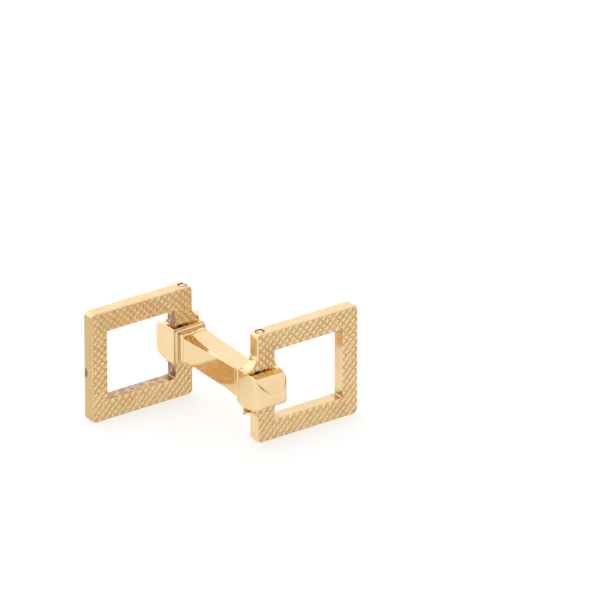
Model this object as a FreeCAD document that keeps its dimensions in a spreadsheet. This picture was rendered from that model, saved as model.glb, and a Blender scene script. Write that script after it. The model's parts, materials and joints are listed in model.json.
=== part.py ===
import FreeCAD, Part
import os
import re
import Sketcher

# A gold stirrup cufflink: two frames, almost square, swing on hinge pins at the two ends of one bar.
# X runs along the bar, Y along the frames, Z up. The link stands on the frames' lower edges at Z = 0.
# Each end is drawn about its own pin, with X pointing away from the bar, and the rear end is turned round.

os.makedirs("parts", exist_ok=True)
doc = FreeCAD.newDocument("cufflink")

SIZES = [
    ("frame_side", 16.0, "outside of the frame, along the pin"),
    ("frame_width", 16.4, "outside of the frame, across the pin"),
    ("frame_band", 2.8, "width of the frame's side at the hinge"),
    ("frame_end_band", 2.5, "width of its far side"),
    ("frame_rail", 2.95, "height of its top and bottom sides"),
    ("frame_depth", 1.85, "front to back of the frame"),
    ("frame_corner", 0.75, "radius of the four outer corners"),
    ("frame_edge", 0.2, "rounding along the outer edges"),
    ("window_corner", 0.2, "radius of the window's corners"),
    ("foot_outer_overhang", 2.35, "foot's outer tip past the stub, on the face away from the bar"),
    ("foot_heel_overhang", 1.05, "foot's outer tip past the stub, on the face towards the bar"),
    ("foot_inner_overhang", 0.25, "foot's tip in the window past the stub"),
    ("foot_lip", 0.04, "height of the foot's tips under their rounding"),
    ("sweep_share", 0.8, "radius above a foot, as a share of its overhang"),
    ("pin_spacing", 17.8, "pin axis to pin axis along the bar"),
    ("pin_inset", 1.0, "frame's outer edge to the pin axis"),
    ("pin_diameter", 1.3, "hinge pin"),
    ("pin_recess", 0.04, "pin end below the frame's edge"),
    ("pin_running_clearance", 0.03, "pin to knuckle, on the radius"),
    ("pin_seat_clearance", 0.01, "pin to frame and cam, on the radius"),
    ("hinge_gap", 0.25, "foot to knuckle, above and below"),
    ("knuckle_across", 0.15, "knuckle past the collar plate, on each side"),
    ("knuckle_rise", 0.05, "knuckle past the collar plate, above and below"),
    ("knuckle_nose", 4.1, "pin axis to the nose tip"),
    ("knuckle_heel", 1.6, "pin axis to the collar"),
    ("knuckle_wall", 0.85, "wall beside the hollow for cam and spring"),
    ("knuckle_roof", 0.9, "wall above and below the hollow"),
    ("nose_flat", 0.8, "flat left on the nose between its roundings, across the bar"),
    ("chamber_depth", 1.45, "pin axis to the hollow's blind end"),
    ("cam_flats", 1.9, "across the flats of the square detent cam"),
    ("cam_corners", 2.3, "across its rounded corners"),
    ("cam_end_clearance", 0.45, "cam to the hollow's roof and floor"),
    ("spring_thickness", 0.18, "leaf spring"),
    ("spring_width", 1.9, "leaf spring, across the bar"),
    ("spring_flat", 1.5, "straight middle that bears on the cam"),
    ("spring_end_clearance", 0.1, "leaf's tips to the hollow's roof and floor"),
    ("spring_clearance", 0.02, "leaf to cam flat at rest"),
    ("flange_thickness", 0.5, "collar plate against the knuckle"),
    ("flange_across", 0.25, "collar plate past its step, on each side"),
    ("flange_rise", 0.3, "collar plate past its step, above and below"),
    ("step_thickness", 0.95, "collar step against the bar"),
    ("step_across", 0.2, "collar step past the bar, on each side"),
    ("step_rise", 0.25, "collar step past the bar, above and below"),
    ("collar_corner", 0.45, "rounding of the collar's corners"),
    ("collar_edge", 0.15, "rounding of the collar's two ribs"),
    ("bar_width", 3.7, "across the bar"),
    ("bar_height", 3.9, "along the pins"),
    ("facet_width", 1.3, "wide end of each run-out facet, across the bar"),
    ("facet_drop", 0.4, "wide end of each run-out facet, along the pins"),
    ("facet_end", 0.12, "narrow end of each run-out facet"),
    ("cut_overrun", 0.5, "cutting tools reach this far past a face"),
]
ENDS = [("front", 1, 0), ("rear", -1, 180)]
UP = FreeCAD.Vector(0, 0, 1)
ALONG = FreeCAD.Vector(1, 0, 0)
NEAR_SHARE = 0.0005

sheet = doc.addObject("Spreadsheet::Sheet", "sizes")
for row, (alias, value, note) in enumerate(SIZES, start=1):
    sheet.set(f"A{row}", note)
    sheet.set(f"B{row}", str(value))
    sheet.setAlias(f"B{row}", alias)
doc.recompute()


def bound(formula):
    # the sheet's names, as the other objects read them
    return re.sub("([a-z_]+)", r"sizes.\1", formula)


def size(formula):
    return sheet.evalExpression(formula)


def bind(item, formulas):
    for prop, formula in formulas.items():
        item.setExpression(prop, bound(formula))
    return item


def new(kind, name, body=None):
    return body.newObject(kind, name) if body else doc.addObject(kind, name)


def block(name, kind, spans, body=None):
    # spans: the low face and the length along X, Y and Z
    formulas = {}
    for axis, side, (low, long) in zip("xyz", ("Length", "Width", "Height"), spans):
        formulas["Placement.Base." + axis] = low
        formulas[side] = long
    return bind(new(kind, name, body), formulas)


def centred(width):
    return f"-( {width} ) / 2", width


def rod(name, kind, radius, length, body=None):
    # a round bar on the pin axis, centred on the frame's mid height
    return bind(new(kind, name, body), {
        "Radius": radius, "Height": length, "Placement.Base.z": f"-( {length} ) / 2",
    })


def combine(kind, name, base, tool):
    item = doc.addObject(kind, name)
    item.Base = base
    item.Tool = tool
    return item


def plane_of(body, role):
    return [item for item in body.Origin.OriginFeatures if item.Role == role][0]


def outline(body, name, role, corners, offset=None):
    # a closed run of straight lines through corners, each placed by two formulas
    sketch = body.newObject("Sketcher::SketchObject", name)
    sketch.AttachmentSupport = [(plane_of(body, role), "")]
    sketch.MapMode = "FlatFace"
    if offset:
        bind(sketch, {"AttachmentOffset.Base.z": offset})
    points = [FreeCAD.Vector(size(across), size(up), 0) for across, up in corners]
    for here, point in enumerate(points):
        sketch.addGeometry(Part.LineSegment(point, points[(here + 1) % len(points)]))
    for here, (across, up) in enumerate(corners):
        following = (here + 1) % len(corners)
        sketch.addConstraint(Sketcher.Constraint("Coincident", here, 2, following, 1))
        for direction, formula, value in (("X", across, points[here].x), ("Y", up, points[here].y)):
            rule = Sketcher.Constraint("Distance" + direction, -1, 1, here, 1, value)
            place = sketch.addConstraint(rule)
            sketch.setExpression(f"Constraints[{place}]", bound(formula))
    return sketch


def pad_both_ways(body, sketch, name, length):
    pad = body.newObject("PartDesign::Pad", name)
    pad.Profile = sketch
    pad.SideType = "Symmetric"
    return bind(pad, {"Length": length})


def edges_where(item, wanted):
    doc.recompute()
    return [f"Edge{count}" for count, edge in enumerate(item.Shape.Edges, start=1) if wanted(edge)]


def runs_along(edge, direction):
    if len(edge.Vertexes) < 2:
        return False
    span = edge.Vertexes[1].Point - edge.Vertexes[0].Point
    straight = span.Length > edge.Length * (1 - NEAR_SHARE)
    return straight and abs(span.dot(direction)) > span.Length * (1 - NEAR_SHARE)


def close(value, other):
    return abs(value - other) < size("frame_side") * NEAR_SHARE


def round_off(body, base, name, radius, wanted):
    fillet = body.newObject("PartDesign::Fillet", name)
    fillet.Base = (base, edges_where(base, wanted))
    return bind(fillet, {"Radius": radius})


def at_end(item, node, side, turn):
    # stands a piece at one end of the bar, at the height of the frame's middle
    item.Label = node
    item.Placement = FreeCAD.Placement(FreeCAD.Vector(), FreeCAD.Rotation(UP, turn))
    return bind(item, {
        "Placement.Base.x": f"{side} * pin_spacing / 2",
        "Placement.Base.z": "frame_side / 2",
    })


# Each piece is a step larger than the one that it holds: bar, collar step, collar plate, knuckle

step_width = "( bar_width + 2 * step_across )"
step_height = "( bar_height + 2 * step_rise )"
flange_width = f"( {step_width} + 2 * flange_across )"
flange_height = f"( {step_height} + 2 * flange_rise )"
knuckle_width = f"( {flange_width} + 2 * knuckle_across )"
knuckle_height = f"( {flange_height} + 2 * knuckle_rise )"
chamber_width = f"( {knuckle_width} - 2 * knuckle_wall )"
chamber_height = f"( {knuckle_height} - 2 * knuckle_roof )"
cam_height = f"( {chamber_height} - 2 * cam_end_clearance )"


# Frame: a near square with a window, open at the hinge, where each stub ends in a spreading foot

outer = "-pin_inset"
inner = "frame_band - pin_inset"
window_end = "frame_width - pin_inset - frame_end_band"
far = "frame_width - pin_inset"
top = "frame_side / 2"
window_top = "frame_side / 2 - frame_rail"
foot = f"{knuckle_height} / 2 + hinge_gap"
foot_top = f"{foot} + foot_lip + frame_edge"
outer_tip = "-pin_inset - foot_outer_overhang"
inner_tip = "frame_band - pin_inset + foot_inner_overhang"
outer_sweep = "foot_outer_overhang * sweep_share"
inner_sweep = "foot_inner_overhang * sweep_share"


def frame(end, side, turn):
    body = doc.addObject("PartDesign::Body", f"{end}_frame_body")
    upper = [
        (inner_tip, foot), (outer_tip, foot), (outer_tip, foot_top),
        (outer, foot_top), (outer, top), (far, top),
    ]
    lower = [(far, f"-( {top} )"), (outer, f"-( {top} )"), (outer, f"-( {foot_top} )")]
    lower += [(outer_tip, f"-( {foot_top} )"), (outer_tip, f"-( {foot} )")]
    lower += [(inner_tip, f"-( {foot} )"), (inner_tip, f"-( {foot_top} )")]
    window = [(inner, f"-( {foot_top} )"), (inner, f"-( {window_top} )")]
    window += [(window_end, f"-( {window_top} )"), (window_end, window_top)]
    window += [(inner, window_top), (inner, foot_top), (inner_tip, foot_top)]
    profile = outline(body, f"{end}_frame_profile", "YZ_Plane", upper + lower + window)
    plate = pad_both_ways(body, profile, f"{end}_frame_plate", "frame_depth")

    def corner(across, height):
        def wanted(edge):
            middle = edge.CenterOfMass
            level = close(abs(middle.z), size(height))
            return runs_along(edge, ALONG) and level and close(middle.y, size(across))
        return wanted

    swept = round_off(body, plate, f"{end}_outer_sweep", outer_sweep, corner(outer, foot_top))
    eased = round_off(body, swept, f"{end}_inner_sweep", inner_sweep, corner(inner, foot_top))

    def outer_corner(edge):
        return corner(outer, top)(edge) or corner(far, top)(edge)

    def window_corner(edge):
        return corner(inner, window_top)(edge) or corner(window_end, window_top)(edge)

    cornered = round_off(body, eased, f"{end}_outer_corners", "frame_corner", outer_corner)
    windowed = round_off(body, cornered, f"{end}_window_corners", "window_corner", window_corner)

    def rim(edge):
        middle = edge.CenterOfMass
        face = close(abs(middle.x), size("frame_depth / 2"))
        level = abs(middle.z) > size("frame_side / 2 - frame_corner")
        end_side = middle.y > size("frame_width - pin_inset - frame_corner")
        return face and (level or end_side)

    rounded = round_off(body, windowed, f"{end}_rim", "frame_edge", rim)

    # the feet's outer tips are cut on a slant, short towards the bar
    slant = "( foot_outer_overhang - foot_heel_overhang ) / frame_depth * cut_overrun"
    past_tip = f"{outer_tip} - {slant}"
    past_heel = f"-pin_inset - foot_heel_overhang + {slant}"
    outside = "frame_depth / 2 + cut_overrun"
    corners = [(outside, past_tip), (f"-( {outside} )", past_heel), (f"-( {outside} )", past_tip)]
    wedge = outline(body, f"{end}_foot_slant", "XY_Plane", corners)
    slanted = body.newObject("PartDesign::Pocket", f"{end}_foot_tips")
    slanted.Profile = wedge
    slanted.SideType = "Symmetric"
    bind(slanted, {"Length": "frame_side"})
    bore = rod(f"{end}_pin_bore", "PartDesign::SubtractiveCylinder",
               "pin_diameter / 2 + pin_seat_clearance", "frame_side + 2 * cut_overrun", body)
    doc.recompute()
    assert slanted.Shape.Volume < rounded.Shape.Volume, "the slant misses the feet"
    assert bore.Shape.Volume < slanted.Shape.Volume, "the pin bore misses the frame"
    return at_end(body, f"{end}_frame", side, turn)


# Hinge pin and the square cam pressed on its middle

def hinge_pin(end, side, turn):
    pin = rod(f"{end}_pin_rod", "Part::Cylinder", "pin_diameter / 2", "frame_side - 2 * pin_recess")
    pin.Label = f"{end}_hinge_pin"
    pin.Placement.Rotation = FreeCAD.Rotation(UP, turn)
    return bind(pin, {"Placement.Base.x": f"{side} * pin_spacing / 2", "Placement.Base.z": "pin_recess"})


def detent_cam(end, side, turn):
    square = block(f"{end}_cam_square", "Part::Box",
                   (centred("cam_flats"), centred("cam_flats"), centred(cam_height)))
    turned = rod(f"{end}_cam_corners", "Part::Cylinder", "cam_corners / 2", cam_height)
    blank = combine("Part::Common", f"{end}_cam_blank", square, turned)
    bore = rod(f"{end}_cam_bore", "Part::Cylinder",
               "pin_diameter / 2 + pin_seat_clearance", f"{cam_height} + 2 * cut_overrun")
    return at_end(combine("Part::Cut", f"{end}_cam", blank, bore), f"{end}_detent_cam", side, turn)


# Knuckle: a hollow block, square at the heel, its nose rounded both from above and from the side

knuckle_span = ("-knuckle_heel", "knuckle_heel + knuckle_nose")
nose_radius = f"( {knuckle_width} - nose_flat ) / 2"


def nose_block(name, tall):
    # one of the two blocks whose shared part is the nose: tall has its upright edges rounded
    body = doc.addObject("PartDesign::Body", name)
    spans = (knuckle_span, centred(knuckle_width), centred(knuckle_height))
    blank = block(f"{name}_blank", "PartDesign::AdditiveBox", spans, body)
    direction = UP if tall else FreeCAD.Vector(0, 1, 0)

    def nose_edge(edge):
        return runs_along(edge, direction) and close(edge.CenterOfMass.x, size("knuckle_nose"))

    round_off(body, blank, f"{name}_round", nose_radius, nose_edge)
    return body


def knuckle(end, side, turn):
    plan = nose_block(f"{end}_nose_plan", True)
    elevation = nose_block(f"{end}_nose_side", False)
    nose = combine("Part::Common", f"{end}_nose", plan, elevation)
    chamber = block(f"{end}_chamber", "Part::Box", (
        ("-knuckle_heel - cut_overrun", "knuckle_heel + cut_overrun + chamber_depth"),
        centred(chamber_width), centred(chamber_height)))
    hollow = combine("Part::Cut", f"{end}_hollow", nose, chamber)
    bore = rod(f"{end}_knuckle_bore", "Part::Cylinder",
               "pin_diameter / 2 + pin_running_clearance", f"{knuckle_height} + 2 * cut_overrun")
    return at_end(combine("Part::Cut", f"{end}_knuckle_cut", hollow, bore), f"{end}_knuckle", side, turn)


# Detent spring: a bowed leaf between the collar and the cam's flat

def detent_spring(end, side, turn):
    body = doc.addObject("PartDesign::Body", f"{end}_spring_body")
    bearing = "-( cam_flats / 2 + spring_clearance )"
    back = f"{bearing} - spring_thickness"
    tip_front = "-knuckle_heel + spring_thickness"
    half_flat = "spring_flat / 2"
    half_tip = f"{chamber_height} / 2 - spring_end_clearance"
    upper = [(bearing, half_flat), (tip_front, half_tip), ("-knuckle_heel", half_tip), (back, half_flat)]
    lower = [(across, f"-( {up} )") for across, up in reversed(upper)]
    leaf = outline(body, f"{end}_spring_profile", "XZ_Plane", upper + lower)
    pad_both_ways(body, leaf, f"{end}_spring_leaf", "spring_width")
    return at_end(body, f"{end}_detent_spring", side, turn)


# Collar: a plate that closes the knuckle's hollow, stepped down to the bar

def collar(end, side, turn):
    body = doc.addObject("PartDesign::Body", f"{end}_collar_body")
    flange_back = "-knuckle_heel - flange_thickness"
    block(f"{end}_flange", "PartDesign::AdditiveBox",
          ((flange_back, "flange_thickness"), centred(flange_width), centred(flange_height)), body)
    step = block(f"{end}_step", "PartDesign::AdditiveBox",
                 ((f"{flange_back} - step_thickness", "step_thickness"),
                  centred(step_width), centred(step_height)), body)
    cornered = round_off(body, step, f"{end}_collar_corners", "collar_corner",
                         lambda edge: runs_along(edge, ALONG))

    def rib(edge):
        middle = edge.CenterOfMass
        on_step = close(middle.x, size(f"{flange_back} - step_thickness"))
        beside = abs(middle.y) > size(f"{step_width} / 2") and abs(middle.z) < size(f"{step_height} / 2")
        above = abs(middle.z) > size(f"{step_height} / 2")
        return not runs_along(edge, ALONG) and (on_step or beside or above)

    round_off(body, cornered, f"{end}_collar_ribs", "collar_edge", rib)
    return at_end(body, f"{end}_collar", side, turn)


# Bar: four flat sides, with a facet on each edge that runs out from one end to the other

bar_end = "pin_spacing / 2 - knuckle_heel - flange_thickness - step_thickness"


def bar():
    body = doc.addObject("PartDesign::Body", "bar_body")
    half, rise = "bar_width / 2", "bar_height / 2"

    def section(name, offset, side):
        # the facet is wide on the +Y edges where side is 1, and on the -Y edges where side is -1
        right = ("facet_width", "facet_drop") if side > 0 else ("facet_end", "facet_end")
        left = ("facet_end", "facet_end") if side > 0 else ("facet_width", "facet_drop")
        upper = [
            (half, f"{rise} - {right[1]}"), (f"{half} - {right[0]}", rise),
            (f"-( {half} ) + {left[0]}", rise), (f"-( {half} )", f"{rise} - {left[1]}"),
        ]
        lower = [(across, f"-( {up} )") for across, up in reversed(upper)]
        return outline(body, name, "YZ_Plane", upper + lower, offset)

    loft = body.newObject("PartDesign::AdditiveLoft", "bar_loft")
    loft.Profile = section("bar_rear_section", f"-( {bar_end} )", -1)
    loft.Sections = [section("bar_front_section", bar_end, 1)]
    loft.Ruled = True
    body.Label = "bar"
    return bind(body, {"Placement.Base.z": "frame_side / 2"})


pieces = [bar()]
for place in ENDS:
    pieces += [make(*place) for make in (frame, hinge_pin, detent_cam, knuckle, detent_spring, collar)]
doc.recompute()

for item in doc.Objects:
    failed = {"Invalid", "Error"} & set(item.State)
    assert not failed, f"{item.Label} failed: {item.State}"
for piece in pieces:
    shape = piece.Shape
    good = not shape.isNull() and shape.isValid() and len(shape.Solids) == 1
    assert good, f"{piece.Label} has no good solid"
    shape.exportStep(f"parts/{piece.Label}.step")
    print(f"{piece.Label}: {shape.Volume:.2f} mm3")
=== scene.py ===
import bmesh
import bpy
import json
import math
from mathutils import Matrix, Vector


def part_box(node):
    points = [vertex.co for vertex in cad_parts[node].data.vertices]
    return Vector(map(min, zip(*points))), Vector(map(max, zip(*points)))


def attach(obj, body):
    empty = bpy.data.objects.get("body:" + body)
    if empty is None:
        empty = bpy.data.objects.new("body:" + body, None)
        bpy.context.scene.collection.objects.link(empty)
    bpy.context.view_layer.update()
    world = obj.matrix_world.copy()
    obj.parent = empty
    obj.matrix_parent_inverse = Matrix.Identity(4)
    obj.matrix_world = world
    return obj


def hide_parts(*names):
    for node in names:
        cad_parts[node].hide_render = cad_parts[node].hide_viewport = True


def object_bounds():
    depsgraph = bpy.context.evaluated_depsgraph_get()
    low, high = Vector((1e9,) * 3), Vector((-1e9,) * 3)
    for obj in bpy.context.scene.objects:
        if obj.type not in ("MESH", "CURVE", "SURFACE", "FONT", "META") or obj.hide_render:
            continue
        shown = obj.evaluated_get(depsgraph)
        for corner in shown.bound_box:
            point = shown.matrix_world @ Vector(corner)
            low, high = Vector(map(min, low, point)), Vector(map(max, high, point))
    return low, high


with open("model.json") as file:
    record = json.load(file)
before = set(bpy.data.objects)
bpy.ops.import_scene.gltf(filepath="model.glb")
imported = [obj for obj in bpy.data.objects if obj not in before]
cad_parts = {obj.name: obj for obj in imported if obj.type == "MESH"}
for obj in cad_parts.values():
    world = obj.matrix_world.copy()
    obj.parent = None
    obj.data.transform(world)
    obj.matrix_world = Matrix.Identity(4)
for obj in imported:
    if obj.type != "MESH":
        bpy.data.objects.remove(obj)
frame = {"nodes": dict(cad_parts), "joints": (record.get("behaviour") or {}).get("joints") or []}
cadLow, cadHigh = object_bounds()
scene = bpy.context.scene
mm = 0.001
thinEdge = 0.001 * mm  # shorter edges are dissolved
ends = {"front": 0.0, "rear": math.pi}  # the turn about Z that brings the front end onto each end
joints = {joint["name"]: joint for joint in frame["joints"]}
pinAxis = Vector(joints["front_frame_swing"]["pos_m"])
print("frame loaded:", len(frame["nodes"]), "nodes")


# Small tools for meshes

def addPiece(name, mesh, turn=0.0):
    mesh.transform(Matrix.Rotation(turn, 4, "Z"))
    piece = bpy.data.objects.new(name, mesh)
    scene.collection.objects.link(piece)
    return piece


def meshFrom(bm, name):
    mesh = bpy.data.meshes.new(name)
    bm.to_mesh(mesh)
    bm.free()
    return mesh


def bakeModifiers(piece):
    depsgraph = bpy.context.evaluated_depsgraph_get()
    baked = bpy.data.meshes.new_from_object(
        piece.evaluated_get(depsgraph), preserve_all_data_layers=True, depsgraph=depsgraph)
    piece.modifiers.clear()
    piece.data = baked


def polishNormals(piece, sharpDegrees, flatMaterial=None):
    # smooth shading with flat sides left flat, and facets of one material left unsmoothed
    mesh = piece.data
    flat = mesh.materials.find(flatMaterial) if flatMaterial else None
    bm = bmesh.new()
    bm.from_mesh(mesh)
    bmesh.ops.dissolve_degenerate(bm, dist=thinEdge, edges=bm.edges)
    bm.normal_update()
    for face in bm.faces:
        face.smooth = True
    for edge in bm.edges:
        keen = edge.calc_face_angle(0.0) > math.radians(sharpDegrees)
        edge.smooth = not keen and all(face.material_index != flat for face in edge.link_faces)
    bm.to_mesh(mesh)
    bm.free()
    weighted = piece.modifiers.new("flat sides", "WEIGHTED_NORMAL")
    weighted.keep_sharp = True
    bakeModifiers(piece)


def stainAndShadePoints(piece, amountAt):
    # how much tarnish each point holds on the frames, and how much painted shade on the seams and pins, for
    # the materials to read
    stain = piece.data.attributes.new("tarnish", "FLOAT", "POINT")
    for vert, value in zip(piece.data.vertices, stain.data):
        value.value = amountAt(vert)


def halfSizes(low, high):
    # half the width, half the height, and the height of the middle
    return (high.y - low.y) / 2, (high.z - low.z) / 2, (low.z + high.z) / 2


def roundedRing(x, middle, halfWidth, halfHeight, corner, steps):
    ring = []
    for quarter, (side, up) in enumerate(((1, 1), (-1, 1), (-1, -1), (1, -1))):
        for step in range(steps + 1):
            angle = math.radians(90) * (quarter + step / steps)
            y = side * (halfWidth - corner) + corner * math.cos(angle)
            z = up * (halfHeight - corner) + corner * math.sin(angle)
            ring.append((x, y, z + middle))
    return ring


def loftMesh(name, rings):
    bm = bmesh.new()
    loops = [[bm.verts.new(point) for point in ring] for ring in rings]
    for here, there in zip(loops, loops[1:]):
        for k, vert in enumerate(here):
            following = (k + 1) % len(here)
            bm.faces.new((vert, here[following], there[following], there[k]))
    bm.faces.new(loops[0])
    bm.faces.new(loops[-1])
    bmesh.ops.recalc_face_normals(bm, faces=bm.faces)
    return meshFrom(bm, name)


def quarterArc(steps):
    # pairs that go from (0, 1) to (1, 0) along a quarter circle
    turns = [math.radians(90) * step / steps for step in range(steps + 1)]
    return [(math.sin(turn), math.cos(turn)) for turn in turns]


# Small tools for nodes

def newGroup(name, inputs, outputs):
    group = bpy.data.node_groups.new(name, "ShaderNodeTree")
    for socketName, kind, value in inputs:
        socket = group.interface.new_socket(socketName, in_out="INPUT", socket_type=kind)
        socket.default_value = value
    for socketName, kind in outputs:
        group.interface.new_socket(socketName, in_out="OUTPUT", socket_type=kind)
    given = group.nodes.new("NodeGroupInput").outputs
    result = group.nodes.new("NodeGroupOutput").inputs
    return group, given, result


def addNode(tree, kind, settings=None, **values):
    # a value goes to the socket of its name, or by place to the first as in0, the second as in1 and so on
    node = tree.nodes.new(kind)
    for key, value in (settings or {}).items():
        setattr(node, key, value)
    for key, value in values.items():
        byPlace = key.startswith("in") and key[2:].isdigit()
        socket = node.inputs[int(key[2:]) if byPlace else key]
        if isinstance(value, bpy.types.NodeSocket):
            tree.links.new(value, socket)
        else:
            socket.default_value = value
    return node


def addMath(tree, operation, first, second=0.0, clamp=False):
    settings = {"operation": operation, "use_clamp": clamp}
    return addNode(tree, "ShaderNodeMath", settings, in0=first, in1=second).outputs[0]


def addVectorMath(tree, operation, first, second, output="Vector"):
    settings = {"operation": operation}
    return addNode(tree, "ShaderNodeVectorMath", settings, in0=first, in1=second).outputs[output]


def addMix(tree, factor, first, second):
    settings = {"data_type": "RGBA"}  # its colours are the sockets 6 and 7, and its result is the output 2
    return addNode(tree, "ShaderNodeMix", settings, in0=factor, in6=first, in7=second).outputs[2]


def addRange(tree, value, low, high, toLow=0.0, toHigh=1.0):
    limits = {"From Min": low, "From Max": high, "To Min": toLow, "To Max": toHigh}
    return addNode(tree, "ShaderNodeMapRange", {"clamp": True}, Value=value, **limits).outputs["Result"]


def addNoise(tree, place, scale, detail, roughness=0.5):
    values = {"Vector": place, "Scale": scale, "Detail": detail, "Roughness": roughness}
    return addNode(tree, "ShaderNodeTexNoise", **values).outputs["Fac"]


# Handling marks

wearLook = {"cloud": {"scale": 420.0, "detail": 4.0, "roughness": 0.6},
            "grain": {"scale": 2600.0, "detail": 3.0, "roughness": 0.6},
            "toneFrom": 0.35, "toneTo": 0.7, "hazeFrom": 0.4, "hazeTo": 0.75,
            "line": {"scale": 1.0, "detail": 1.0}, "lineFrom": 0.66, "lineTo": 0.74, "lineHaze": 0.12,
            "lineTurns": (0.5, 2.1, 1.2), "lineTilt": (1.0, 0.7, 1.3),
            "lineSpreads": ((90.0, 9000.0, 1200.0), (9000.0, 140.0, 1500.0), (1500.0, 9000.0, 120.0)),
            "bumpStrength": 0.6}


def makeGoldWear():
    # cloudy tone, fine hairlines in three directions and tiny dents
    tree, given, result = newGroup("goldWear", [
        ("Colour", "NodeSocketColor", (0.9, 0.68, 0.37, 1)),
        ("Warm colour", "NodeSocketColor", (0.8, 0.55, 0.25, 1)),
        ("Smooth", "NodeSocketFloat", 0.08), ("Hazed", "NodeSocketFloat", 0.2),
        ("Hairlines", "NodeSocketFloat", 0.5), ("Dents", "NodeSocketFloat", 0.5),
    ], [("Colour", "NodeSocketColor"), ("Roughness", "NodeSocketFloat"), ("Height", "NodeSocketFloat")])
    look = wearLook
    place = addNode(tree, "ShaderNodeTexCoord").outputs["Object"]
    cloud = addNoise(tree, place, **look["cloud"])
    grain = addNoise(tree, place, **look["grain"])
    lines = None
    for turn, spread in zip(look["lineTurns"], look["lineSpreads"]):
        slant = [turn * part for part in look["lineTilt"]]
        turned = addNode(tree, "ShaderNodeMapping", Vector=place, Rotation=slant, Scale=spread).outputs[0]
        streaks = addNoise(tree, turned, **look["line"])
        line = addRange(tree, streaks, look["lineFrom"], look["lineTo"])
        lines = line if lines is None else addMath(tree, "MAXIMUM", lines, line)
    marks = addMath(tree, "MULTIPLY", lines, given["Hairlines"])
    tone = addRange(tree, cloud, look["toneFrom"], look["toneTo"])
    tree.links.new(addMix(tree, tone, given["Colour"], given["Warm colour"]), result["Colour"])
    haze = addRange(tree, cloud, look["hazeFrom"], look["hazeTo"], given["Smooth"], given["Hazed"])
    rough = addMath(tree, "ADD", haze, addMath(tree, "MULTIPLY", marks, look["lineHaze"]))
    tree.links.new(rough, result["Roughness"])
    dents = addMath(tree, "MULTIPLY", grain, given["Dents"])
    tree.links.new(addMath(tree, "SUBTRACT", dents, marks), result["Height"])
    return tree


goldWear = makeGoldWear()


# Tarnish, and painted shade in grooves and seams

bloomLook = {"film": (0.34, 0.20, 0.03, 1), "bloom": (0.33, 0.16, 0.11, 1),
             "groove": (0.62, 0.35, 0.10, 1), "haze": 0.25,
             "mottle": {"scale": 1500.0, "detail": 5.0, "roughness": 0.7},
             "spotsFrom": 0.3, "spotsTo": 0.56, "thickFrom": 0.45, "thickTo": 0.8,
             "shadePower": 1.5, "shadeFrom": 0.2, "shadeTo": 0.6, "shadeLeast": 0.6,
             "knockPlace": (-9.6 * mm, -15.4 * mm, 7.1 * mm), "knockSize": 1.2 * mm,
             "knockCore": 0.6, "knockRagged": 0.4 * mm}


def makeTarnishAndShade():
    # golden film, patchy brown bloom where it is thick, painted shade darkening the groove floors in
    # patches, and one brown knock
    tree, given, result = newGroup("tarnishBloom", [
        ("Colour", "NodeSocketColor", (0.9, 0.68, 0.37, 1)), ("Roughness", "NodeSocketFloat", 0.1),
        ("Film colour", "NodeSocketColor", bloomLook["film"]),
        ("Bloom colour", "NodeSocketColor", bloomLook["bloom"]), ("Amount", "NodeSocketFloat", 1.0),
        ("Groove shade colour", "NodeSocketColor", bloomLook["groove"]),
        ("Groove amount", "NodeSocketFloat", 0.7),
        ("Knock", "NodeSocketVector", bloomLook["knockPlace"]),
        ("Knock size", "NodeSocketFloat", bloomLook["knockSize"]),
    ], [("Colour", "NodeSocketColor"), ("Roughness", "NodeSocketFloat")])
    look = bloomLook
    place = addNode(tree, "ShaderNodeTexCoord").outputs["Object"]
    held = addNode(tree, "ShaderNodeAttribute", {"attribute_name": "tarnish"}).outputs["Fac"]
    groove = addNode(tree, "ShaderNodeAttribute", {"attribute_name": "groove"}).outputs["Fac"]
    mottle = addNoise(tree, place, **look["mottle"])
    spots = addRange(tree, mottle, look["spotsFrom"], look["spotsTo"])
    away = addVectorMath(tree, "DISTANCE", place, given["Knock"], "Value")
    ragged = addMath(tree, "ADD", away, addMath(tree, "MULTIPLY", mottle, look["knockRagged"]))
    core = addMath(tree, "MULTIPLY", given["Knock size"], look["knockCore"])
    knock = addRange(tree, ragged, given["Knock size"], core)
    thick = addRange(tree, held, look["thickFrom"], look["thickTo"])
    patches = addMath(tree, "MULTIPLY", thick, addMath(tree, "SUBTRACT", 1.0, spots))
    covered = addMath(tree, "MULTIPLY", held, addMath(tree, "SUBTRACT", 1.0, patches))
    mask = addMath(tree, "MULTIPLY", addMath(tree, "MAXIMUM", covered, knock), given["Amount"], clamp=True)
    brown = addMath(tree, "MAXIMUM", thick, knock)
    stain = addMix(tree, brown, given["Film colour"], given["Bloom colour"])
    # painted shade: the groove floors are darkened towards the groove colour, in patches
    inGroove = addMath(tree, "POWER", groove, look["shadePower"])
    patchy = addRange(tree, mottle, look["shadeFrom"], look["shadeTo"], look["shadeLeast"], 1.0)
    grooveShade = addMath(tree, "MULTIPLY", addMath(tree, "MULTIPLY", inGroove, given["Groove amount"]), patchy)
    colour = addMix(tree, grooveShade, given["Colour"], given["Groove shade colour"])
    tree.links.new(addMix(tree, mask, colour, stain), result["Colour"])
    stainedAndShaded = addMath(tree, "MAXIMUM", mask, grooveShade)
    rough = addMath(tree, "ADD", given["Roughness"], addMath(tree, "MULTIPLY", stainedAndShaded, look["haze"]))
    tree.links.new(rough, result["Roughness"])
    return tree


tarnishBloom = makeTarnishAndShade()


# Metals

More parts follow.
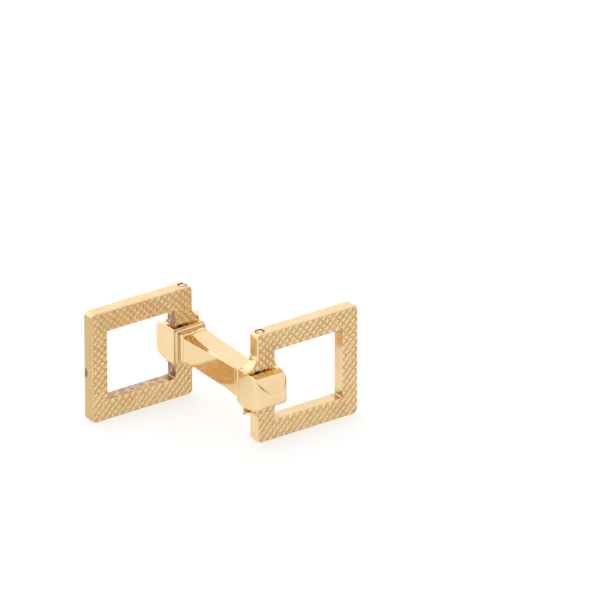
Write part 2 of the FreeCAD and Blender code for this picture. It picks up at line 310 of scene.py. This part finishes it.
metalLook = {
    "polished gold": {"colour": (0.88, 0.665, 0.385, 1), "warm": (0.86, 0.63, 0.345, 1),
                      "smooth": 0.07, "hazed": 0.15, "hairlines": 0.35, "dents": 0.35,
                      "bump": 0.004 * mm, "amount": 0.0},
    "frame edge gold": {"colour": (0.88, 0.665, 0.385, 1), "warm": (0.85, 0.61, 0.32, 1),
                        "smooth": 0.10, "hazed": 0.2, "hairlines": 0.5, "dents": 0.5,
                        "bump": 0.004 * mm, "amount": 1.0, "grooves": 0.0},
    # grooves sets how strongly painted shade darkens the knurl's groove floors
    "knurled gold": {"colour": (0.87, 0.655, 0.375, 1), "warm": (0.83, 0.59, 0.30, 1),
                     "smooth": 0.14, "hazed": 0.26, "hairlines": 0.3, "dents": 0.8,
                     "bump": 0.004 * mm, "amount": 0.08, "grooves": 0.45},
    # pin gold's bloom colour is painted shade: near-black on the chamfer ring and on the side in the gap
    "pin gold": {"colour": (0.86, 0.63, 0.34, 1), "warm": (0.76, 0.52, 0.26, 1),
                 "smooth": 0.15, "hazed": 0.3, "hairlines": 0.6, "dents": 1.0,
                 "bump": 0.006 * mm, "amount": 1.0, "grooves": 0.0, "bloom": (0.05, 0.025, 0.01, 1)},
    "cam gold": {"colour": (0.84, 0.62, 0.33, 1), "warm": (0.72, 0.50, 0.26, 1),
                 "smooth": 0.2, "hazed": 0.35, "hairlines": 0.8, "dents": 1.0,
                 "bump": 0.006 * mm, "amount": 0.0},
    "spring steel": {"colour": (0.56, 0.56, 0.58, 1), "warm": (0.48, 0.47, 0.46, 1),
                     "smooth": 0.22, "hazed": 0.36, "hairlines": 0.8, "dents": 0.6,
                     "bump": 0.004 * mm, "amount": 0.0},
}
metalLook["seamed gold"] = {**metalLook["polished gold"],  # with painted shade in its seams
                            "amount": 1.0, "grooves": 0.0, "bloom": (0.16, 0.08, 0.02, 1)}


def makeMetal(name, look):
    material = bpy.data.materials.new(name)
    material.use_nodes = True
    tree = material.node_tree
    shader = tree.nodes["Principled BSDF"]
    shader.inputs["Metallic"].default_value = 1.0
    wear = addNode(tree, "ShaderNodeGroup", {"node_tree": goldWear}, **{
        "Colour": look["colour"], "Warm colour": look["warm"], "Smooth": look["smooth"],
        "Hazed": look["hazed"], "Hairlines": look["hairlines"], "Dents": look["dents"]})
    colour, rough = wear.outputs["Colour"], wear.outputs["Roughness"]
    # the film and bloom colours are tarnish on the frames and painted shade on the seams and pins
    if look["amount"]:
        bloom = addNode(tree, "ShaderNodeGroup", {"node_tree": tarnishBloom}, **{
            "Colour": colour, "Roughness": rough,
            "Film colour": look.get("bloom", bloomLook["film"]),
            "Bloom colour": look.get("bloom", bloomLook["bloom"]),
            "Amount": look["amount"], "Groove amount": look["grooves"]})
        colour, rough = bloom.outputs["Colour"], bloom.outputs["Roughness"]
    bump = addNode(tree, "ShaderNodeBump", Strength=wearLook["bumpStrength"], Distance=look["bump"],
                   Height=wear.outputs["Height"])
    tree.links.new(colour, shader.inputs["Base Color"])
    tree.links.new(rough, shader.inputs["Roughness"])
    tree.links.new(bump.outputs["Normal"], shader.inputs["Normal"])
    return material


metals = {name: makeMetal(name, look) for name, look in metalLook.items()}
print("materials made:", len(metals))


# Bar

barLook = {"facetWidth": 1.3 * mm, "facetDrop": 0.4 * mm, "facetEnd": 0.12 * mm, "facetFade": 2.2,
           "flare": 0.13 * mm, "flareLength": 3.2 * mm, "steps": 40,
           "edge": 0.05 * mm, "edgeSteps": 3, "edgeDegrees": 12, "sharpDegrees": 40}


def makeBar():
    low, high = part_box("bar")
    halfWidth, halfHeight, middle = halfSizes(low, high)
    wide = Vector((barLook["facetWidth"], barLook["facetDrop"]))
    narrow = Vector((barLook["facetEnd"], barLook["facetEnd"]))

    def section(x):
        # the facets on one side widen towards the front, and those on the other towards the rear
        toEnd = min(x - low.x, high.x - x) / barLook["flareLength"]
        grow = barLook["flare"] * max(0.0, 1 - toEnd) ** 2
        half, top = halfWidth + grow, halfHeight + grow
        along = (x - low.x) / (high.x - low.x)
        right = narrow.lerp(wide, along ** barLook["facetFade"])
        left = narrow.lerp(wide, (1 - along) ** barLook["facetFade"])
        upper = [(half, top - right.y), (half - right.x, top), (left.x - half, top), (-half, top - left.y)]
        around = upper + [(y, -z) for y, z in reversed(upper)]
        return [(x, y, middle + z) for y, z in around]

    places = [low.x + (high.x - low.x) * k / barLook["steps"] for k in range(barLook["steps"] + 1)]
    piece = addPiece("barPost", loftMesh("barPost", [section(x) for x in places]))
    bevel = piece.modifiers.new("worn edges", "BEVEL")
    bevel.width = barLook["edge"]
    bevel.segments = barLook["edgeSteps"]
    bevel.limit_method = "ANGLE"
    bevel.angle_limit = math.radians(barLook["edgeDegrees"])
    bakeModifiers(piece)
    piece.data.materials.append(metals["polished gold"])
    polishNormals(piece, barLook["sharpDegrees"])
    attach(piece, "bar")
    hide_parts("bar")


makeBar()
print("bar made")


# Collars

collarLook = {"corner": 0.45 * mm, "cornerSteps": 8, "flangeThickness": 0.5 * mm,
              "flangeAcross": 0.25 * mm, "flangeRise": 0.3 * mm,
              "rib": 0.24 * mm, "ribSteps": 6, "ribAcross": 0.13 * mm, "ribRise": 0.03 * mm,
              "seamStain": 0.6, "sharpDegrees": 40}


def makeCollar(end, turn):
    low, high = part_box("front_collar")
    halfWidth, halfHeight, middle = halfSizes(low, high)
    rib = collarLook["rib"]
    shoulder = high.x - collarLook["flangeThickness"]
    rounding = quarterArc(collarLook["ribSteps"])
    # each station is a place along the bar, an inset, and 1 on the small step
    stations = [(high.x - rib + rib * far, rib * (1 - near), 0) for near, far in rounding]
    stations += [(shoulder + rib - rib * near, rib * (1 - far), 0) for near, far in rounding]
    stations += [(shoulder, 0, 1)]
    stations += [(low.x + rib - rib * near, rib * (1 - far), 1) for near, far in rounding]
    rings = []
    for x, inset, onStep in stations:
        across = halfWidth - inset + (-collarLook["flangeAcross"] if onStep else collarLook["ribAcross"])
        up = halfHeight - inset + (-collarLook["flangeRise"] if onStep else collarLook["ribRise"])
        corner = collarLook["corner"] - inset / 2
        rings.append(roundedRing(x, middle, across, up, corner, collarLook["cornerSteps"]))
    piece = addPiece(f"{end}CollarRibs", loftMesh(f"{end}CollarRibs", rings), turn)
    piece.data.materials.append(metals["seamed gold"])

    # painted shade, darkest where each rib rounds in at a seam
    def seamShadeAt(vert):
        inset = stations[vert.index // len(rings[0])][1]
        return collarLook["seamStain"] * (inset / rib) ** 2

    stainAndShadePoints(piece, seamShadeAt)
    polishNormals(piece, collarLook["sharpDegrees"])
    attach(piece, "bar")
    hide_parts(f"{end}_collar")


for end, turn in ends.items():
    makeCollar(end, turn)
print("collars made")


# Knuckles

knuckleLook = {"noseFlat": 0.8 * mm, "noseSteps": 32, "edge": 0.07 * mm, "edgeSteps": 8,
               "brow": 3.2 * mm, "browFlat": 0.1 * mm, "browTurn": math.radians(77),
               "soft": 0.32 * mm, "softPower": 0.5, "softShare": 0.95,
               "heel": 0.28 * mm, "heelDrop": 0.22 * mm, "seamStain": 0.9, "sharpDegrees": 40,
               "boreRadius": 0.68 * mm, "boreSides": 64, "boreReach": 2,
               "wall": 0.85 * mm, "roof": 0.9 * mm, "chamberDepth": 1.45 * mm}


def addCutter(name, fill):
    bm = bmesh.new()
    fill(bm)
    return addPiece(name, meshFrom(bm, name))


def makeKnuckle(end, turn):
    low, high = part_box("front_knuckle")
    halfWidth, halfHeight, middle = halfSizes(low, high)
    edge, steps = knuckleLook["edge"], knuckleLook["edgeSteps"]
    nose = halfWidth - knuckleLook["noseFlat"] / 2
    brow, fall = knuckleLook["brow"], halfHeight - knuckleLook["browFlat"] / 2
    bend = knuckleLook["browTurn"]
    heel, drop = knuckleLook["heel"], knuckleLook["heelDrop"]
    # each station is a place along the bar, an inset at the sides, and a dip at top and bottom
    stations = [(low.x + heel - heel * far, drop * (1 - near), drop * (1 - near))
                for near, far in quarterArc(steps)]
    for step in range(knuckleLook["noseSteps"] + 1):
        share = step / knuckleLook["noseSteps"]
        x = high.x - brow + brow * math.sin(share * bend) / math.sin(bend)
        aside = max(0.0, (x - high.x + nose) / nose)
        dip = fall * (1 - math.cos(share * bend)) / (1 - math.cos(bend))
        stations.append((x, nose * (1 - math.sqrt(max(0.0, 1 - aside ** 2))), dip))
    rings = []
    for x, inset, dip in stations:
        soft = edge + knuckleLook["soft"] * max(0.0, 1 - (high.x - x) / brow) ** knuckleLook["softPower"]
        soft = min(soft, knuckleLook["softShare"] * min(halfWidth - inset, halfHeight - dip))
        rings.append(roundedRing(x, middle, halfWidth - inset, halfHeight - dip, soft, steps))
    piece = addPiece(f"{end}KnuckleBlock", loftMesh(f"{end}KnuckleBlock", rings))

    def fillBore(bm):
        radius = knuckleLook["boreRadius"]
        bmesh.ops.create_cone(bm, cap_ends=True, segments=knuckleLook["boreSides"],
                              radius1=radius, radius2=radius, matrix=Matrix.Translation(pinAxis),
                              depth=knuckleLook["boreReach"] * (high.z - low.z))

    def fillChamber(bm):
        inside = Vector((low.x - edge, -halfWidth + knuckleLook["wall"], low.z + knuckleLook["roof"]))
        outside = Vector((pinAxis.x + knuckleLook["chamberDepth"], -inside.y, high.z - knuckleLook["roof"]))
        scale = Matrix.Diagonal((outside - inside).to_4d())
        scale[3][3] = 1.0
        bmesh.ops.create_cube(bm, size=1.0, matrix=Matrix.Translation((inside + outside) / 2) @ scale)

    cutters = [addCutter("boreCutter", fillBore), addCutter("chamberCutter", fillChamber)]
    for cutter in cutters:
        cut = piece.modifiers.new(cutter.name, "BOOLEAN")
        cut.operation = "DIFFERENCE"
        cut.solver = "EXACT"
        cut.object = cutter
    bakeModifiers(piece)
    for cutter in cutters:
        bpy.data.objects.remove(cutter)
    piece.data.materials.clear()
    piece.data.materials.append(metals["seamed gold"])

    # painted shade, darkest at the heel where the knuckle meets the collar
    def seamShadeAt(vert):
        return knuckleLook["seamStain"] * max(0.0, 1 - (vert.co.x - low.x) / heel) ** 2

    stainAndShadePoints(piece, seamShadeAt)
    piece.data.transform(Matrix.Rotation(turn, 4, "Z"))
    polishNormals(piece, knuckleLook["sharpDegrees"])
    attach(piece, "bar")
    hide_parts(f"{end}_knuckle")


for end, turn in ends.items():
    makeKnuckle(end, turn)
print("knuckles made")


# Hinge pins

pinLook = {"chamfer": 0.14 * mm, "dome": 0.03 * mm, "sides": 64, "rings": 5, "sharpDegrees": 35,
           "shadeBandWidth": 0.1 * mm, "rimMargin": 0.014 * mm, "rimStain": 1.0, "sideStain": 0.45}


def makePin(end, turn):
    low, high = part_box("front_hinge_pin")
    radius = (high.x - low.x) / 2
    chamfer, dome = pinLook["chamfer"], pinLook["dome"]
    flat = radius - chamfer
    cap = [(flat * step / pinLook["rings"], dome * (1 - (step / pinLook["rings"]) ** 2))
           for step in range(1, pinLook["rings"] + 1)]
    shoulder = high.z - dome - chamfer
    # from the domed top end down to the side, and the same mirrored below
    profile = [(r, high.z - dome + rise) for r, rise in cap]
    profile += [(radius, shoulder), (radius, shoulder - pinLook["shadeBandWidth"])]
    profile += [(r, low.z + high.z - z) for r, z in reversed(profile)]
    turns = [2 * math.pi * k / pinLook["sides"] for k in range(pinLook["sides"])]
    rings = [[(pinAxis.x + r * math.cos(a), r * math.sin(a), z) for a in turns] for r, z in profile]
    piece = addPiece(f"{end}PinRivet", loftMesh(f"{end}PinRivet", rings), turn)
    piece.data.materials.append(metals["pin gold"])

    def rimShadeAt(vert):
        # painted shade: dark on the chamfer, which shows as a thin ring, darker on the side, and bare on
        # the flat end
        out = (vert.co.xy - Matrix.Rotation(turn, 2) @ pinAxis.xy).length
        fromEnd = min(high.z - vert.co.z, vert.co.z - low.z)
        if fromEnd > high.z - shoulder + pinLook["shadeBandWidth"] / 2:
            return pinLook["sideStain"]
        return pinLook["rimStain"] if out > flat - pinLook["rimMargin"] else 0.0

    stainAndShadePoints(piece, rimShadeAt)
    polishNormals(piece, pinLook["sharpDegrees"])
    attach(piece, f"{end}_frame")
    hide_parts(f"{end}_hinge_pin")


for end, turn in ends.items():
    makePin(end, turn)
print("hinge pins made")


# Frames, with the crossed grooves cut into both faces

frameLook = {
    "pitch": 0.769 * mm, "grooveWidth": 0.44 * mm, "grooveDepth": 0.12 * mm,
    "uneven": 0.7, "unevenScale": 900.0, "unevenDetail": 1.0,
    "runOut": 0.3, "footEnd": 2 * mm, "footGap": 3 * mm,  # grooves fade at a border and end at a foot
    "weld": 0.0005 * mm, "cutWeld": 0.0002 * mm, "sharpDegrees": 22,
    "bandShare": 1.1, "flatFrom": 0.999, "facingFrom": 0.99,
    "windowNear": 1.8 * mm, "windowFar": 12.9 * mm, "windowLow": 2.95 * mm, "windowHigh": 13.05 * mm,
    "hingeNear": 0.9 * mm, "hingeFar": 2.5 * mm, "cornerReach": 0.9 * mm, "outerFrom": 15.3 * mm,
    "sillMargin": 0.02 * mm,
    "stain": {"front": {"sill": 0.1, "hinge": 0.15, "corner": 0.32, "outer": 0.05},
              "rear": {"sill": 0.84, "hinge": 1.1, "corner": 0.6, "outer": 0.44}},
}


def knurlLines():
    # each cut line as a point and a normal: groove edges and floors, then the creases where grooves cross
    low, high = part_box("front_frame")
    middle = (low + high) / 2
    reach = (high - low).length / 2
    pitch, half = frameLook["pitch"], frameLook["grooveWidth"] / 2
    count = math.ceil(reach / pitch)
    for normal in (Vector((0, 1, 1)).normalized(), Vector((0, 1, -1)).normalized()):
        for k in range(-count, count + 1):
            for aside in (-half, 0.0, half):
                yield middle + normal * (k * pitch + aside), normal
    crease = pitch / math.sqrt(2)
    count = math.ceil(reach / crease)
    for normal in (Vector((0, 1, 0)), Vector((0, 0, 1))):
        for k in range(-count, count + 1):
            yield middle + normal * k * crease, normal


def makeKnurlTree():
    # lowers each point into the grooves: a V across each of two slanting families of lines
    tree = bpy.data.node_groups.new("knurlGrooves", "GeometryNodeTree")
    given = {}
    for name, kind in (("Geometry", "NodeSocketGeometry"), ("Centre", "NodeSocketVector"),
                       ("Pitch", "NodeSocketFloat"), ("Groove width", "NodeSocketFloat"),
                       ("Groove depth", "NodeSocketFloat"), ("Half thickness", "NodeSocketFloat"),
                       ("Uneven", "NodeSocketFloat"), ("Uneven scale", "NodeSocketFloat")):
        given[name] = tree.interface.new_socket(name, in_out="INPUT", socket_type=kind)
    tree.interface.new_socket("Geometry", in_out="OUTPUT", socket_type="NodeSocketGeometry")
    source = tree.nodes.new("NodeGroupInput").outputs
    result = tree.nodes.new("NodeGroupOutput").inputs
    place = addNode(tree, "GeometryNodeInputPosition").outputs[0]
    offset = addVectorMath(tree, "SUBTRACT", place, source["Centre"])
    apart = addNode(tree, "ShaderNodeSeparateXYZ", Vector=offset).outputs
    halfPitch = addMath(tree, "MULTIPLY", source["Pitch"], 0.5)
    halfGroove = addMath(tree, "MULTIPLY", source["Groove width"], 0.5)
    manyPitches = addMath(tree, "MULTIPLY", source["Pitch"], 1000.0)  # keeps the distance above zero
    floor = None
    for operation in ("ADD", "SUBTRACT"):
        along = addMath(tree, operation, apart["Y"], apart["Z"])
        across = addMath(tree, "MULTIPLY", along, math.sqrt(0.5))
        fromLine = addMath(tree, "PINGPONG", addMath(tree, "ADD", across, manyPitches), halfPitch)
        share = addMath(tree, "SUBTRACT", 1.0, addMath(tree, "DIVIDE", fromLine, halfGroove), clamp=True)
        floor = share if floor is None else addMath(tree, "MAXIMUM", floor, share)
    part = addNode(tree, "GeometryNodeInputNamedAttribute", {"data_type": "FLOAT"}, Name="share").outputs[0]
    noise = addNoise(tree, place, source["Uneven scale"], frameLook["unevenDetail"])
    wander = addMath(tree, "SUBTRACT", noise, 0.5)
    pressure = addMath(tree, "ADD", 1.0, addMath(tree, "MULTIPLY", wander, source["Uneven"]))
    deepest = addMath(tree, "MULTIPLY", source["Groove depth"], pressure)
    depth = addMath(tree, "MULTIPLY", addMath(tree, "MULTIPLY", floor, part), deepest)
    surface = addMath(tree, "SUBTRACT", source["Half thickness"], depth)
    lowered = addMath(tree, "MINIMUM", addMath(tree, "ABSOLUTE", apart["X"]), surface)
    level = addMath(tree, "MULTIPLY", lowered, addMath(tree, "SIGN", apart["X"]))
    moved = addNode(tree, "ShaderNodeCombineXYZ", X=level, Y=apart["Y"], Z=apart["Z"]).outputs[0]
    home = addVectorMath(tree, "ADD", moved, source["Centre"])
    store = addNode(tree, "GeometryNodeStoreNamedAttribute", {"data_type": "FLOAT", "domain": "POINT"},
                    Geometry=source["Geometry"], Name="groove", Value=floor)
    cut = addNode(tree, "GeometryNodeSetPosition", Geometry=store.outputs[0], Position=home)
    whole = addNode(tree, "GeometryNodeRealizeInstances", Geometry=cut.outputs[0])
    facing = addNode(tree, "GeometryNodeInputNamedAttribute", {"data_type": "INT"}, Name="facing")
    sides = addNode(tree, "GeometryNodeSetMaterial", Geometry=whole.outputs[0],
                    Material=metals["frame edge gold"])
    faces = addNode(tree, "GeometryNodeSetMaterial", Geometry=sides.outputs[0], Selection=facing.outputs[0],
                    Material=metals["knurled gold"])
    tree.links.new(faces.outputs[0], result["Geometry"])
    return tree, given


def makeFrameMesh():
    # the CAD frame with its faces cut along every line of the knurl, still flat
    low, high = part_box("front_frame")
    centre = (low + high) / 2
    halfThickness = (high.x - low.x) / 2
    bm = bmesh.new()
    bm.from_mesh(frame["nodes"]["front_frame"].data)
    bmesh.ops.remove_doubles(bm, verts=bm.verts, dist=frameLook["weld"])
    knurled = bm.faces.layers.int.new("knurled")
    facing = bm.faces.layers.int.new("facing")
    least = halfThickness - frameLook["grooveDepth"] * frameLook["bandShare"]
    for side in (-1, 1):
        level = [face for face in bm.faces if face.normal.x * side > frameLook["flatFrom"]
                 and all((vert.co.x - centre.x) * side > least for vert in face.verts)]
        bmesh.ops.dissolve_faces(bm, faces=level)
    for face in bm.faces:
        face[knurled] = all(abs(vert.co.x - centre.x) > least for vert in face.verts)
        face[facing] = face[knurled] and abs(face.normal.x) > frameLook["facingFrom"]
    for point, normal in knurlLines():
        faces = [face for face in bm.faces if face[knurled]]
        edges = {edge for face in faces for edge in face.edges}
        verts = {vert for face in faces for vert in face.verts}
        bmesh.ops.bisect_plane(bm, geom=faces + list(edges) + list(verts), dist=frameLook["cutWeld"],
                               plane_co=point, plane_no=normal)
    share = bm.verts.layers.float.new("share")
    for vert in bm.verts:
        underFoot = vert.co.y < frameLook["footEnd"] and abs(vert.co.z - centre.z) < frameLook["footGap"]
        atBorder = 0.0 if underFoot else frameLook["runOut"]
        vert[share] = 1.0 if all(face[facing] for face in vert.link_faces) else atBorder
    return meshFrom(bm, "frameBlank"), centre, halfThickness


def stainFrame(piece, look, side):
    # window sill, hinge feet, outer side and the window's corners
    near, far = frameLook["windowNear"], frameLook["windowFar"]
    low, high = frameLook["windowLow"], frameLook["windowHigh"]
    corners = [(y, z) for y in (near, far) for z in (low, high)]

    def film(vert):
        y, z = side * vert.co.y, vert.co.z
        held = 0.0
        if near < y < far and abs(z - low) < frameLook["sillMargin"]:
            held = look["sill"]
        if frameLook["hingeNear"] < y < frameLook["hingeFar"] and low < z < high:
            held = max(held, look["hinge"])
        if y > frameLook["outerFrom"]:
            held = look["outer"]
        toCorner = min(math.hypot(y - cy, z - cz) for cy, cz in corners)
        return max(held, look["corner"]) if toCorner < frameLook["cornerReach"] else held

    stainAndShadePoints(piece, film)


def makeFrames():
    blank, centre, halfThickness = makeFrameMesh()
    tree, given = makeKnurlTree()
    piece = addPiece("frontFrameKnurled", blank)
    groove = piece.modifiers.new("knurl", "NODES")
    groove.node_group = tree
    sizes = {"Centre": centre, "Half thickness": halfThickness, "Pitch": frameLook["pitch"],
             "Groove width": frameLook["grooveWidth"], "Groove depth": frameLook["grooveDepth"],
             "Uneven": frameLook["uneven"], "Uneven scale": frameLook["unevenScale"]}
    for name, value in sizes.items():
        groove[given[name].identifier] = value
    bakeModifiers(piece)
    polishNormals(piece, frameLook["sharpDegrees"], "knurled gold")
    rear = addPiece("rearFrameKnurled", piece.data.copy(), ends["rear"])
    for end, made in (("front", piece), ("rear", rear)):
        stainFrame(made, frameLook["stain"][end], -1 if end == "rear" else 1)
        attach(made, f"{end}_frame")
        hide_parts(f"{end}_frame")
    print("frame faces:", len(piece.data.polygons))


makeFrames()
print("frames made")


# Cams and springs stay as the CAD nodes

for end in ends:
    for node, metal in (("detent_cam", "cam gold"), ("detent_spring", "spring steel")):
        inner = frame["nodes"][f"{end}_{node}"]
        inner.data.materials.clear()
        inner.data.materials.append(metals[metal])
print("inner pieces dressed")


# Floor, light and camera

floorLook = {"size": 1200 * mm, "colour": (0.36, 0.36, 0.358, 1), "roughness": 0.6,
             "glowColour": (1, 1, 1, 1), "glow": 0.64}


def makeFloor():
    bm = bmesh.new()
    bmesh.ops.create_grid(bm, x_segments=1, y_segments=1, size=floorLook["size"] / 2)
    floor = addPiece("paleFloor", meshFrom(bm, "paleFloor"))
    material = bpy.data.materials.new("pale floor")
    material.use_nodes = True
    shader = material.node_tree.nodes["Principled BSDF"]
    shader.inputs["Base Color"].default_value = floorLook["colour"]
    shader.inputs["Roughness"].default_value = floorLook["roughness"]
    shader.inputs["Emission Color"].default_value = floorLook["glowColour"]
    shader.inputs["Emission Strength"].default_value = floorLook["glow"]
    floor.data.materials.append(material)


def towards(azimuth, elevation):
    a, e = math.radians(azimuth), math.radians(elevation)
    return Vector((math.sin(a) * math.cos(e), -math.cos(a) * math.cos(e), math.sin(e)))


lightLook = {"azimuth": -53, "elevation": 45, "distance": 500 * mm, "size": 800 * mm, "power": 0.7}


def makeLight():
    data = bpy.data.lights.new("left", "AREA")
    data.shape = "SQUARE"
    data.size = lightLook["size"]
    data.energy = lightLook["power"]
    light = bpy.data.objects.new("left", data)
    back = towards(lightLook["azimuth"], lightLook["elevation"])
    light.location = back * lightLook["distance"]
    light.rotation_euler = back.to_track_quat("Z", "Y").to_euler()
    scene.collection.objects.link(light)


worldLook = {"azimuth": 53.5, "elevation": 10, "strength": 1.17,
             "stops": ((0.0, 1.0), (0.35, 0.92), (0.7, 0.88), (0.94, 0.66), (0.985, 0.3)),
             "side": (0.25, 0.96, 0.12), "sideFrom": 0.80, "sideTo": 0.97, "sideLevel": 0.42}


def makeWorld():
    # pale all round, darker behind the camera and on one side, for the gold to reflect
    world = bpy.data.worlds.new("studio")
    world.use_nodes = True
    tree = world.node_tree
    place = addNode(tree, "ShaderNodeTexCoord").outputs["Generated"]
    back = towards(worldLook["azimuth"], worldLook["elevation"])
    facing = addVectorMath(tree, "DOT_PRODUCT", place, back, "Value")
    ramp = addNode(tree, "ShaderNodeValToRGB", Fac=addRange(tree, facing, -1.0, 1.0))
    stops = ramp.color_ramp.elements
    while len(stops) < len(worldLook["stops"]):
        stops.new(0.5)
    for stop, (position, level) in zip(stops, worldLook["stops"]):
        stop.position = position
        stop.color = (level, level, level, 1)
    aside = addVectorMath(tree, "DOT_PRODUCT", place, Vector(worldLook["side"]).normalized(), "Value")
    dim = addRange(tree, aside, worldLook["sideFrom"], worldLook["sideTo"], 1.0, worldLook["sideLevel"])
    strength = addMath(tree, "MULTIPLY", dim, worldLook["strength"])
    tree.links.new(ramp.outputs["Color"], tree.nodes["Background"].inputs["Color"])
    tree.links.new(strength, tree.nodes["Background"].inputs["Strength"])
    scene.world = world


cameraLook = {"azimuth": 54.25, "elevation": 25.25, "distance": 1200 * mm, "pixelsPerMm": 7.507,
              "centrePixel": (221.05, 362.2), "imageSize": 600, "sensor": 36.0,
              "clipNear": 10 * mm, "clipFar": 10000 * mm}


def makeCamera():
    # the object's middle falls on a named pixel of the photo, without any shift of the lens
    data = bpy.data.cameras.new("camera")
    camera = bpy.data.objects.new("camera", data)
    back = towards(cameraLook["azimuth"], cameraLook["elevation"])
    turn = back.to_track_quat("Z", "Y")
    right, up = turn @ Vector((1, 0, 0)), turn @ Vector((0, 1, 0))
    middle = cameraLook["imageSize"] / 2
    aside = (middle - cameraLook["centrePixel"][0]) / cameraLook["pixelsPerMm"] * mm
    above = (cameraLook["centrePixel"][1] - middle) / cameraLook["pixelsPerMm"] * mm
    focus = Vector((0, 0, (cadLow.z + cadHigh.z) / 2))
    camera.location = focus + back * cameraLook["distance"] + right * aside + up * above
    camera.rotation_euler = turn.to_euler()
    focal = cameraLook["pixelsPerMm"] / mm * cameraLook["distance"]
    data.sensor_width = cameraLook["sensor"]
    data.lens = focal * cameraLook["sensor"] / cameraLook["imageSize"]
    data.clip_start, data.clip_end = cameraLook["clipNear"], cameraLook["clipFar"]
    scene.collection.objects.link(camera)
    scene.camera = camera


makeFloor()
makeLight()
makeWorld()
makeCamera()
scene.view_settings.view_transform = "Standard"
print("stage made")
